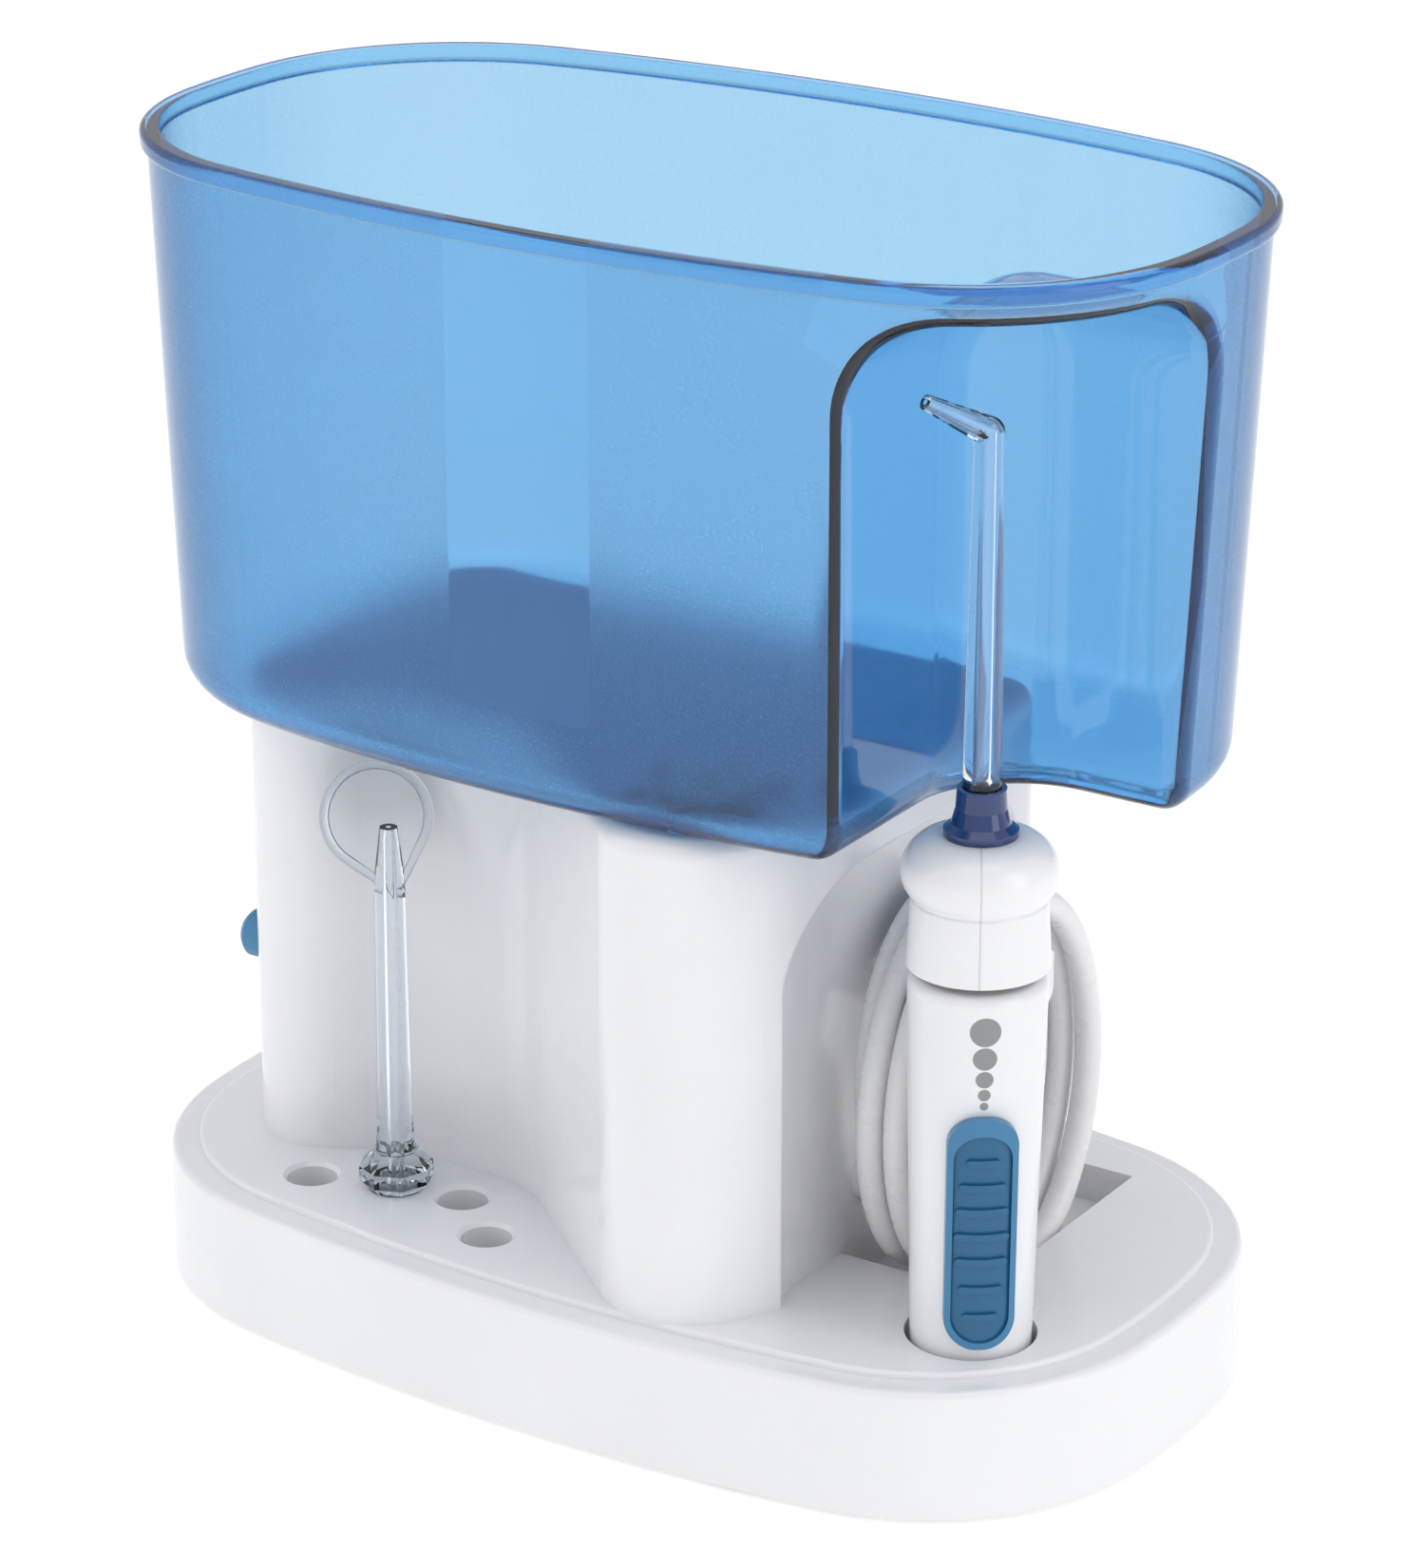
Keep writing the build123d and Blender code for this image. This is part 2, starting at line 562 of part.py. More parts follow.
def motor_end_cap():
    cap = solid_y(disc(MOTOR_RADIUS - 1.05, MOTOR_X, MOTOR_Z), MOTOR_END - 3, MOTOR_END)
    cap += solid_y(disc(MOTOR_RADIUS, MOTOR_X, MOTOR_Z), MOTOR_END, MOTOR_END + 2)
    cap += solid_y(disc(5.0, MOTOR_X, MOTOR_Z), MOTOR_END + 2, MOTOR_END + 4)
    return cap - solid_y(disc(SHAFT_RADIUS + RUNNING_GAP, MOTOR_X, MOTOR_Z), MOTOR_END - 4, MOTOR_END + 2)


def motor_magnets():
    body = ring(13.9, 11.2, MOTOR_X, MOTOR_Z) - Pos(MOTOR_X, MOTOR_Z) * Rectangle(7, 30)
    return solid_y(body, 9, MOTOR_END - 4).solids()


def motor_shaft():
    return solid_y(disc(SHAFT_RADIUS, MOTOR_X, MOTOR_Z), GEAR_FRONT - 0.8, MOTOR_END + 1)


def motor_armature():
    """Laminated core with three winding slots."""
    body = ring(10.5, SHAFT_RADIUS + 0.01, MOTOR_X, MOTOR_Z)
    for step in range(3):
        angle = radians(120 * step + 90)
        centre = Pos(MOTOR_X + 8 * cos(angle), MOTOR_Z + 8 * sin(angle))
        body -= centre * Rot(0, 0, degrees(angle)) * Rectangle(7, 3)
    return solid_y(body, 10, MOTOR_END - 5)


# ---------------------------------------------------------------- pump


def head_plate(low, high):
    return block((low, high), HEAD_Y, HEAD_Z)


def pump_body():
    """Cylinder with a flange at its closed end, and two lugs that bolt to the frame."""
    body = solid_x(disc(10.4, PUMP_Y, GEAR_Z), *CYLINDER_X) + head_plate(CHAMBER_END - 2, CYLINDER_X[1])
    for x, z in PUMP_LUGS:
        side = 1 if z > GEAR_Z else -1
        ends = sorted((z + 2.5 * side, GEAR_Z + 9.5 * side))
        body += block((x - 5, x + 5), (PUMP_Y - 3, FRAME_FRONT), ends)
    body -= solid_x(disc(PISTON_RADIUS + RUNNING_GAP, PUMP_Y, GEAR_Z), CYLINDER_X[0] - 1, CHAMBER_END)
    for y, z in (INLET, OUTLET):
        body -= solid_x(disc(1.4, y, z), CHAMBER_END - 1, CYLINDER_X[1] + 1)
    for y, z in HEAD_SCREWS:
        body -= solid_x(disc(1.35, y, z), CHAMBER_END - 4, CYLINDER_X[1] + 1)
    for x, z in PUMP_LUGS:
        body -= solid_y(disc(1.25, x, z), -6, FRAME_FRONT + 1)
    return body


def head_gasket():
    gasket = head_plate(CYLINDER_X[1], GASKET_END)
    for y, z in (INLET, OUTLET, *HEAD_SCREWS):
        gasket -= solid_x(disc(1.7, y, z), CYLINDER_X[1] - 1, GASKET_END + 1)
    return gasket


def pump_head():
    """Valve block: suction from above, delivery through a nipple on its end."""
    head = head_plate(GASKET_END, HEAD_END)
    middle = (GASKET_END + HEAD_END) / 2 + 1
    head += Pos(middle, INLET[0]) * solid(disc(2.0), HEAD_Z[1], HEAD_Z[1] + 6)
    head += solid_x(disc(1.9, *OUTLET), HEAD_END, HEAD_END + 2.5)
    for y, z in (INLET, OUTLET):
        head -= solid_x(disc(3.3, y, z), GASKET_END - 1, GASKET_END + 2.2)
        head -= solid_x(disc(1.2, y, z), GASKET_END, middle + 1)
    head -= Pos(middle, INLET[0]) * solid(disc(1.2), INLET[1], HEAD_Z[1] + 7)
    head -= solid_x(disc(1.2, *OUTLET), middle, HEAD_END + 3)
    for y, z in HEAD_SCREWS:
        head -= solid_x(disc(1.55, y, z), GASKET_END - 1, HEAD_END + 1)
    return head


def check_valve(place):
    """Rubber disc with a small dimple, loose in its pocket in the head."""
    y, z = place
    seat = solid_x(disc(0.8, y, z), GASKET_END, GASKET_END + 0.7)
    return solid_x(disc(3.0, y, z), GASKET_END + 0.2, GASKET_END + 1.4) - seat


def head_screws():
    body = Rot(0, 90, 0) * screw(2.3, 1.6, 1.25, 12.5)
    return [Pos(HEAD_END, y, z) * body for y, z in HEAD_SCREWS]


def lug_screws():
    body = Rot(-90, 0, 0) * screw(2.4, 1.6, 1.2, 8.0)
    return [Pos(x, FRAME_BACK, z) * body for x, z in PUMP_LUGS]


def piston():
    """Hollow piston: the rod's ball end moves inside it with room all round."""
    body = solid_x(disc(PISTON_RADIUS, PUMP_Y, GEAR_Z), PISTON_REST_X - 6.5, CROWN[1])
    body -= solid_x(disc(6.6, PUMP_Y, GEAR_Z), PISTON_REST_X - 8, CROWN[0])
    return body - solid_x(ring(9.0, 7.0, PUMP_Y, GEAR_Z), *SEAL_GROOVE)


def piston_seal():
    section = ring(PISTON_RADIUS + 0.02, 7.02, PUMP_Y, GEAR_Z)
    return solid_x(section, SEAL_GROOVE[0] + 0.05, SEAL_GROOVE[1] - 0.05)


def suction_tube():
    top = (PORT_X, PORT_Y, 103.0)
    end_x = (GASKET_END + HEAD_END) / 2 + 1
    points = [top, (PORT_X, PORT_Y, 82.0), (end_x, INLET[0], 78.0), (end_x, INLET[0], HEAD_Z[1] + 0.5)]
    return tube(points, 3.2, "suction tube", bore=2.05)


def discharge_tube():
    inner_end = TROUGH_X[0] - WALL - 0.8
    return solid_x(ring(2.8, 1.95, *OUTLET), HEAD_END + 0.3, inner_end)


# ---------------------------------------------------------------- switch and button


def power_button():
    """Domed cap with a flange inside the wall and a stem that meets the switch."""
    dome_rise = 2.6
    dome_radius = (BUTTON_RADIUS**2 + dome_rise**2) / (2 * dome_rise)
    profile = turned(
        [
            (0, 0), (BUTTON_RADIUS, 0), (BUTTON_RADIUS, 11), (6.0, 11), (6.0, 12.2),
            (1.8, 12.2), (1.8, 14.6), (0, 14.6),
        ]
    )
    dome = Pos(0, 0, dome_radius) * Sphere(dome_radius)
    cap = profile & (dome + solid(disc(8), dome_rise, 20))
    return Pos(BUTTON_TIP_X, BUTTON_Y, BUTTON_Z) * Rot(0, 90, 0) * cap


def button_spring():
    """Conical stack of turns between the button's flange and the switch."""
    start, end = BUTTON_TIP_X + 12.5, SWITCH_X[0] - 0.3
    wire = 0.3
    coils = Helix(pitch=(end - start) / 4, height=end - start, radius=3.4)
    path = Pos(start, BUTTON_Y, BUTTON_Z) * Rot(0, 90, 0) * coils
    return sweep(Plane(origin=path @ 0, z_dir=path % 0) * Circle(wire), path=path)


def switch_body():
    low_y, high_y = BUTTON_Y - SWITCH_HALF_DEPTH, BUTTON_Y + SWITCH_HALF_DEPTH
    body = block(SWITCH_X, (low_y, high_y), SWITCH_Z)
    recess_y = (BUTTON_Y - 2.2, BUTTON_Y + 2.2)
    recess_z = (BUTTON_Z - 2.2, BUTTON_Z + 2.2)
    body -= block((SWITCH_X[0] - 1, SWITCH_X[0] + 3), recess_y, recess_z)
    for y in (BUTTON_Y - 2.5, BUTTON_Y + 2.5):
        body += block((SWITCH_X[1], SWITCH_X[1] + 3.5), (y - 1, y + 1), (BUTTON_Z - 0.4, BUTTON_Z + 0.4))
    return body


def switch_bracket():
    """Arm from the top of the frame that holds the switch."""
    top = SWITCH_Z[1]
    front, back = BUTTON_Y - SWITCH_HALF_DEPTH, BUTTON_Y + SWITCH_HALF_DEPTH
    arm = block(SWITCH_X, (front, FRAME_FRONT), (top + 5, top + 7))
    return arm + block(SWITCH_X, (front, back), (top, top + 5))


def mains_leads():
    points = [
        (GLAND_X, 58.0, GLAND_Z), (GLAND_X - 4, 50.0, GLAND_Z), (-52.0, 49.5, 15.0), (-77.0, 32.0, 17.0),
        (-77.0, -10.0, 18.0), (-70.0, -19.0, 32.0), (-67.0, -20.0, 54.5),
    ]
    return tube(points, 1.8, "mains leads")


def motor_leads():
    points = [
        (-60.2, -17.5, 63.3), (-59.6, -17.0, 74.0), (-58.0, -9.0, 88.0), (-57.0, 8.0, 93.0),
        (-57.5, 24.0, 93.5), (-58.0, MOTOR_END + 0.5, 90.0), (-58.0, MOTOR_END + 1, 80.3),
    ]
    return tube(points, 1.2, "motor leads")


# ---------------------------------------------------------------- hose


def hose_coil():
    """Outer shape of the coiled hose: an oval ring two turns deep, narrower beside the handle."""
    outer = Ellipse(*COIL_OUTER)
    depth = COIL_LAYERS * HOSE_DIAMETER
    inner = Ellipse(COIL_OUTER[0] - depth, COIL_OUTER[1] - depth)
    whole = solid_x(Pos(COIL_Y, COIL_Z) * (outer - inner), *COIL_X)
    near_y, far_y = COIL_Y - COIL_OUTER[0], COIL_Y + COIL_OUTER[0]
    low_x, high_x = COIL_X
    plan = Polyline((low_x, near_y), (low_x, far_y), (high_x, far_y), (COIL_NEAR_X, near_y), close=True)
    coil = whole & solid(make_face(plan), 0, 100)
    face = max(coil.faces(), key=lambda f: f.center().X)
    return fillet(face.outer_wire().edges(), HOSE_DIAMETER / 2 - 0.2)


def hose_lead_out():
    return tube(LEAD_OUT, HOSE_DIAMETER / 2, "hose lead out")


def hose_lead_in():
    return tube(LEAD_IN, HOSE_DIAMETER / 2, "hose lead in")


# ---------------------------------------------------------------- tank


def tank_oval(size, inset, height):
    half_length, half_width, radii = size
    return Pos(0, 0, height) * inset_oval(half_length, half_width, radii, inset)


def tank_hull(inset, low, high):
    """The tank's tapering body between two heights, inset from its outer wall."""
    share_low = (low - TANK_BOTTOM) / (TANK_TOP - TANK_BOTTOM)
    share_high = (high - TANK_BOTTOM) / (TANK_TOP - TANK_BOTTOM)
    sections = []
    for share, height in ((share_low, low), (share_high, high)):
        half_length, half_width = (a + (b - a) * share for a, b in zip(TANK_LOW[:2], TANK_HIGH[:2]))
        radii = tuple(a + (b - a) * share for a, b in zip(TANK_LOW[2], TANK_HIGH[2]))
        sections.append(tank_oval((half_length, half_width, radii), inset, height))
    return loft(sections, ruled=True)


def pocket(grow):
    """The notch that clears the handle, or the same shape grown into the tank by a wall."""
    far = 90.0
    across = (POCKET_X - grow, POCKET_X + far)
    deep = (POCKET_Y + grow - far, POCKET_Y + grow)
    notch = block(across, deep, (TANK_BOTTOM - 20, POCKET_TOP + grow))
    radius = POCKET_RADIUS + grow
    upright = notch.edges().filter_by(Axis.Z).sort_by(lambda e: e.center().X - e.center().Y)[0]
    notch = fillet(upright, radius)
    roof = notch.edges().group_by(Axis.Z)[-1]
    inner = roof.filter_by(lambda e: e.center().X < 130 and e.center().Y > -80)
    return fillet(inner, radius - 0.1)


def notch_edges(hull):
    """The edges in which the notch meets the hull's outer wall, up its sides and over its top."""
    edges = []
    for edge in hull.edges().filter_by(GeomType.BSPLINE):
        middle, top = edge @ 0.5, max((edge @ 0).Z, (edge @ 1).Z)
        if middle.X > 55 and middle.Y < 12 and middle.Z > TANK_BOTTOM + 0.5 and top < POCKET_TOP + 1:
            edges.append(edge)
    return edges


def tank():
    """Open tank with a rolled rim, a rounded foot and a notch at its front right corner."""
    hull = tank_hull(0, TANK_BOTTOM, TANK_TOP) - pocket(0)
    hull = fillet(notch_edges(hull), NOTCH_ROUNDING)
    hull = fillet(hull.edges().group_by(Axis.Z)[0], 7.0)
    bead = tank_hull(-RIM_BEAD, TANK_TOP - RIM_HEIGHT, TANK_TOP)
    bead = fillet(bead.edges().group_by(Axis.Z)[0] + bead.edges().group_by(Axis.Z)[-1], 1.1)
    inside = tank_hull(TANK_WALL, TANK_BOTTOM + TANK_FLOOR, TANK_TOP + 5) - pocket(TANK_WALL)
    inside = fillet(inside.edges().group_by(Axis.Z)[0], 5.0)
    body = hull + bead - inside
    body -= solid(disc(6.0, PORT_X, PORT_Y), TANK_BOTTOM - 1, TANK_BOTTOM + TANK_FLOOR + 1)
    for step in range(6):
        angle = radians(60 * step + 40)
        stud = disc(2.0, PORT_X + 12.5 * cos(angle), PORT_Y + 12.5 * sin(angle))
        body += solid(stud, TANK_BOTTOM + TANK_FLOOR - 0.5, TANK_BOTTOM + TANK_FLOOR + 1.4)
    return body


def tank_valve():
    """Rubber valve pushed through the tank's floor."""
    floor = TANK_BOTTOM + TANK_FLOOR
    body = turned(
        [
            (1.5, 113.0), (5.0, 113.0), (5.9, 115.0), (5.9, floor + 0.05), (9.0, floor + 0.05),
            (8.4, floor + 1.6), (3.0, floor + 2.2), (1.5, floor + 1.0),
        ]
    )
    return Pos(PORT_X, PORT_Y) * body


# ---------------------------------------------------------------- handle


def barrel_radius(height):
    return BARREL_RADIUS + BARREL_SLOPE * (height - BARREL_BOTTOM)


def barrel_layer(low, high):
    """A conical layer between two distances from the barrel's surface, over the slider's length."""
    heights = (SLIDER_Z[0] - 4, SLIDER_Z[1] + 4)
    inside = [(barrel_radius(z) + low, z) for z in heights]
    outside = [(barrel_radius(z) + high, z) for z in heights[::-1]]
    return turned(inside + outside)


def slider_window(width, low, high, rounding):
    """A rounded window in front of the barrel, as a solid that cuts the slider's layers."""
    window = Pos(0, (low + high) / 2) * RectangleRounded(width, high - low, rounding)
    return solid_y(window, -20, -4)


def handle_barrel():
    bottom, top = BARREL_BOTTOM, BARREL_TOP
    low, high = barrel_radius(bottom), barrel_radius(top)
    inner_top = top - 2.6
    barrel = turned(
        [
            (low - BARREL_WALL, bottom), (low, bottom), (high, top), (5.3, top), (5.3, inner_top),
            (barrel_radius(inner_top) - BARREL_WALL, inner_top),
        ],
        [((high, top), 2.0)],
    )
    slot = block((-1.7, 1.7), (-16, -6), (LINK_Z[0] - 1.0, LINK_Z[1] + SLIDER_TRAVEL + 1.0))
    return AT_HANDLE * (barrel - slot)


def handle_plug():
    """Lower end of the handle, with a level spigot that the hose meets."""
    flange_top, flange_bottom = BARREL_BOTTOM, SPIGOT_Z - 2.5
    spigot_radius = barrel_radius(BARREL_BOTTOM) - BARREL_WALL - 0.05
    plug = turned(
        [
            (0, flange_bottom), (9.4, flange_bottom), (9.9, flange_bottom + 0.6), (9.9, flange_top),
            (spigot_radius, flange_top), (spigot_radius, flange_top + 5), (0, flange_top + 5),
        ]
    )
    spigot = Rot(0, 0, SPIGOT_AZIMUTH - HANDLE_TURN) * solid_x(disc(2.3, 0, SPIGOT_Z), 0, SPIGOT_REACH)
    bore = Rot(0, 0, SPIGOT_AZIMUTH - HANDLE_TURN) * solid_x(disc(1.2, 0, SPIGOT_Z), 0, SPIGOT_REACH + 1)
    bore += solid(disc(1.2), SPIGOT_Z, flange_top + 6)
    socket = solid(disc(3.05), 25.5, 30)  # takes the foot of the stem
    return AT_HANDLE * (plug + spigot - bore - socket)


def handle_stem():
    """Water tube up the middle of the handle, with the neck that the knob turns on."""
    stem = turned(
        [
            (1.2, 25.6), (3.0, 25.6), (3.0, 88.0), (9.0, 88.0), (9.0, 92.9), (5.2, 92.9), (5.2, 97.0),
            (4.2, 97.0), (4.2, 102.0), (3.3, 102.0), (3.3, 104.0), (4.2, 104.0), (4.2, 110.4), (1.2, 110.4),
        ]
    )
    return AT_HANDLE * stem


def knob_seal():
    return AT_HANDLE * Pos(0, 0, 103.0) * Torus(3.85, 0.5)


def pressure_slider():
    """Frame of the thumb slider, with a link through the slot to the valve fork."""
    pad = barrel_layer(SLIDER_GAP, SLIDER_PROUD) & slider_window(SLIDER_WIDTH, *SLIDER_Z, 5.6)
    window = slider_window(SLIDER_WIDTH - 2.2, SLIDER_Z[0] + 1.2, SLIDER_Z[1] - 3.2, 4.8)
    recess = barrel_layer(0.75, 4) & window
    link = block((-1.4, 1.4), (-barrel_radius(40) - 0.6, -6.4), LINK_Z)
    return AT_HANDLE * (pad - recess + link)


def slider_grip():
    """Darker ribbed insert in the slider's frame."""
    window = slider_window(SLIDER_WIDTH - 2.3, SLIDER_Z[0] + 1.25, SLIDER_Z[1] - 3.25, 4.7)
    grip = barrel_layer(0.75, GRIP_SURFACE) & window
    ribs = [Pos(0, z) * RectangleRounded(width, 1.3, 0.6) for z, width in RIBS]
    for rib in ribs:
        grip += barrel_layer(0.9, SLIDER_PROUD) & solid_y(rib, -20, -4)
    return AT_HANDLE * grip


def slider_valve():
    """Fork that the slider moves along the stem to set the pressure."""
    fork = solid(disc(6.2) - disc(3.6) - Pos(0, 8) * Rectangle(7.2, 16), *LINK_Z)
    return AT_HANDLE * fork


def tip_knob():
    """Knob that turns the tip: a skirt, a round bulb and a bore for the tip's shank."""
    knob = turned(
        [
            (10.6, 97.5), (12.55, 97.5), (11.85, 109.4), (4.25, 120.9), (3.15, 120.9), (3.15, 111.0),
            (4.25, 111.0), (4.25, 105.6), (10.2, 105.6),
        ]
    )
    bulb = Pos(0, 0, 115.4) * turned_bulb()
    knob += bulb
    knob -= solid(disc(3.15), 110, 125) + solid(disc(4.25), 100, 111)
    return AT_HANDLE * knob


def turned_bulb():
    """The knob's round bulb about its own middle height."""
    half_height, radius, crown = 6.2, 13.5, 7.6
    face = make_face(
        [
            Line((0, -half_height), (radius - 2.6, -half_height)),
            ThreePointArc((radius - 2.6, -half_height), (radius, 0.6), (crown, half_height - 0.6)),
            Line((crown, half_height - 0.6), (0, half_height - 0.6)),
            Line((0, half_height - 0.6), (0, -half_height)),
        ]
    )
    return revolve(Plane.XZ * face, Axis.Z)


# ---------------------------------------------------------------- tip


def jet_tip():
    """Clear jet tip: a shank in the knob, a tapering tube and a bent nozzle."""
    tube_body = turned(
        [(0, TIP_FOOT), (3.1, TIP_FOOT), (3.1, 121.5), (3.4, 130.0), (2.6, TIP_BEND), (0, TIP_BEND)]
    )
    nozzle = Cone(2.6, 1.35, NOZZLE_LENGTH, align=(Align.CENTER, Align.CENTER, Align.MIN))
    bore = turned([(0, TIP_FOOT - 1), (1.2, TIP_FOOT - 1), (1.0, TIP_BEND), (0, TIP_BEND)])
    bore += Pos(0, 0, TIP_BEND) * Sphere(1.0)
    jet = Cone(1.0, 0.5, NOZZLE_LENGTH + 0.2, align=(Align.CENTER, Align.CENTER, Align.MIN))
    aim = Pos(0, 0, TIP_BEND) * Rot(0, 0, NOZZLE_AZIMUTH) * Rot(0, 90 - NOZZLE_RISE, 0)
    body = tube_body + Pos(0, 0, TIP_BEND) * Sphere(2.6) + aim * nozzle - bore - aim * jet
    return Pos(HANDLE_X, HANDLE_Y) * body


def tip_collar():
    """Coloured collar at the foot of the tip."""
    collar = turned(
        [
            (3.45, 121.2), (6.5, 121.2), (6.5, 122.3), (5.2, 123.4), (4.5, 126.0), (4.35, 128.4),
            (4.3, 129.6), (3.45, 129.6),
        ]
    )
    return Pos(HANDLE_X, HANDLE_Y) * collar


# ---------------------------------------------------------------- spare tip


def tongue_cleaner():
    """Clear spare tip stored in a hole: a faceted foot, a tube and a teardrop scraper behind it."""
    x, y = STORAGE_HOLES[1]
    peg = turned([(0, 20.9), (4.0, 20.9), (4.3, 22), (4.3, 27.1), (0, 27.1)])
    foot = loft(
        [
            Pos(0, 0, height) * RegularPolygon(radius, 8)
            for height, radius in ((27.1, 5.6), (28.6, 7.0), (31.5, 7.0), (34.5, 4.4))
        ],
        ruled=True,
    )
    stem = turned([(0, 33), (3.9, 33), (3.3, 40), (2.85, 85), (2.7, 90), (1.65, 98.8), (0, 98.8)])
    bore = turned([(0, 24), (1.1, 24), (0.8, 96), (0.5, 99), (0, 99)])
    spoon = scraper()
    return Pos(x, y) * (peg + foot + stem - bore + Rot(0, 0, SPARE_FACING) * spoon)


def scraper():
    """Teardrop loop with a thin web, leaning back from the tube's top."""
    centre, radius, tail = (-2.6, 13.0), 10.2, (1.2, -2.0)
    outer = Pos(*centre) * Circle(radius)
    outline = outer + make_hull_face(centre, radius, tail)
    inner = offset(outline, amount=-1.3)
    rim = extrude(outline - inner, 0.9, both=True)
    web = extrude(inner, 0.3, both=True)
    flat = Plane.XZ * (rim + web)
    return Pos(0, 2.2, 86.0) * Rot(-SPARE_LEAN, 0, 0) * flat


def make_hull_face(centre, radius, tail):
    """The wedge between a circle and the point that its two tangents meet in."""
    reach = hypot(tail[0] - centre[0], tail[1] - centre[1])
    towards = atan2(tail[1] - centre[1], tail[0] - centre[0])
    spread = atan2(sqrt(reach**2 - radius**2), radius)
    touch = []
    for angle in (towards + spread, towards - spread):
        touch.append((centre[0] + radius * cos(angle), centre[1] + radius * sin(angle)))
    return make_face(Polyline(touch[0], tail, touch[1], centre, close=True))


# ---------------------------------------------------------------- write every piece

PIECES = {
    "housing": housing,
    "bottom_plate": bottom_plate,
    "rubber_feet": rubber_feet,
    "housing_screws": housing_screws,
    "hose_outlet": hose_outlet,
    "hose_hook": hose_hook,
    "cord_gland": cord_gland,
    "tank_port": tank_port,
    "port_seal": port_seal,
    "pinion": pinion,
    "drive_gear": drive_gear,
    "gear_axle": gear_axle,
    "axle_clip": axle_clip,
    "connecting_rod": connecting_rod,
    "drive_frame": drive_frame,
    "frame_mounts": frame_mounts,
    "frame_screws": frame_screws,
    "motor_screws": motor_screws,
    "motor_can": motor_can,
    "motor_bearing": motor_bearing,
    "motor_end_cap": motor_end_cap,
    "motor_magnets": motor_magnets,
    "motor_shaft": motor_shaft,
    "motor_armature": motor_armature,
    "pump_body": pump_body,
    "head_gasket": head_gasket,
    "pump_head": pump_head,
    "inlet_valve": lambda: check_valve(INLET),
    "outlet_valve": lambda: check_valve(OUTLET),
    "head_screws": head_screws,
    "lug_screws": lug_screws,
    "piston": piston,
    "piston_seal": piston_seal,
    "suction_tube": suction_tube,
    "discharge_tube": discharge_tube,
    "power_button": power_button,
    "button_spring": button_spring,
    "switch_body": switch_body,
    "switch_bracket": switch_bracket,
    "mains_leads": mains_leads,
    "motor_leads": motor_leads,
    "hose_coil": hose_coil,
    "hose_lead_out": hose_lead_out,
    "hose_lead_in": hose_lead_in,
    "tank": tank,
    "tank_valve": tank_valve,
    "handle_barrel": handle_barrel,
    "handle_plug": handle_plug,
    "handle_stem": handle_stem,
    "knob_seal": knob_seal,
    "pressure_slider": pressure_slider,
    "slider_grip": slider_grip,
    "slider_valve": slider_valve,
    "tip_knob": tip_knob,
    "jet_tip": jet_tip,
    "tip_collar": tip_collar,
    "tongue_cleaner": tongue_cleaner,
}


def main():
    os.makedirs("parts", exist_ok=True)
    for name, make in PIECES.items():
        made = make()
        piece = Compound(children=list(made)) if isinstance(made, (list, ShapeList)) else made
        export_step(piece, f"parts/{name}.step")


main()
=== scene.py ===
import json
import math

import bpy
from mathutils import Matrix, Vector


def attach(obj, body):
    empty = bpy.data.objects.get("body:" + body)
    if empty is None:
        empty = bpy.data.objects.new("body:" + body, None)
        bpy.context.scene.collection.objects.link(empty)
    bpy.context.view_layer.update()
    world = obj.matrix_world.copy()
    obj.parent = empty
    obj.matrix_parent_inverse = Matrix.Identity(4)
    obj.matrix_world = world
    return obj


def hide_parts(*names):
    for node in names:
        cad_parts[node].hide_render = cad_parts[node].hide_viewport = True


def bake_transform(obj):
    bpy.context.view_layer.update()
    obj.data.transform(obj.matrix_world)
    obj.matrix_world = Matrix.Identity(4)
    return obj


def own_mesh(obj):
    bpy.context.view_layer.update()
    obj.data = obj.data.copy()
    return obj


# A countertop water flosser. Metres, in the frame's own axes: X along the length, -Y to the front.

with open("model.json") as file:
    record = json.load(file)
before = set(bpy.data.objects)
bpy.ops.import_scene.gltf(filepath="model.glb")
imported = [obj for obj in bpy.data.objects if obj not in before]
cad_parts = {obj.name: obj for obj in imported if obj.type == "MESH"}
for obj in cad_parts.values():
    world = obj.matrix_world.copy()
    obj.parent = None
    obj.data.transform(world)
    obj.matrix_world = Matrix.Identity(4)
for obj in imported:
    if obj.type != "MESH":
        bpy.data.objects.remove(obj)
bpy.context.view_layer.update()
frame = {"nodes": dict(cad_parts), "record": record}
nodes = frame["nodes"]
MM = 0.001

# Camera
CAMERA_AZIMUTH = math.radians(33.035)
CAMERA_ELEVATION = math.radians(21.453)
CAMERA_DISTANCE = 0.9645
CAMERA_TARGET = Vector((0, 0, 0.1039))
CAMERA_LENS = 121.5
CAMERA_SHIFT = (0.0102, 0.0022)

# Colours that more than one finish uses
WHITE = (0.84, 0.838, 0.862)
HOSE_WHITE = (0.83, 0.825, 0.83)
DOT_GREY = (0.26, 0.265, 0.27)

# Handle
HANDLE_AXIS = Vector((0.076, -0.0283, 0))
HANDLE_TURN = math.radians(36.87)  # turns a detail that faces -Y to where the slider faces
SCALE_DOTS = [(89.5, 5.4), (84.5, 4.2), (80.6, 3.1), (77.7, 2.2), (75.6, 1.5)]  # height, diameter
DOT_EDGE = 0.08 * MM
PARTING_TURN = math.radians(31.0)
PARTING_HALF_WIDTH = 0.12 * MM

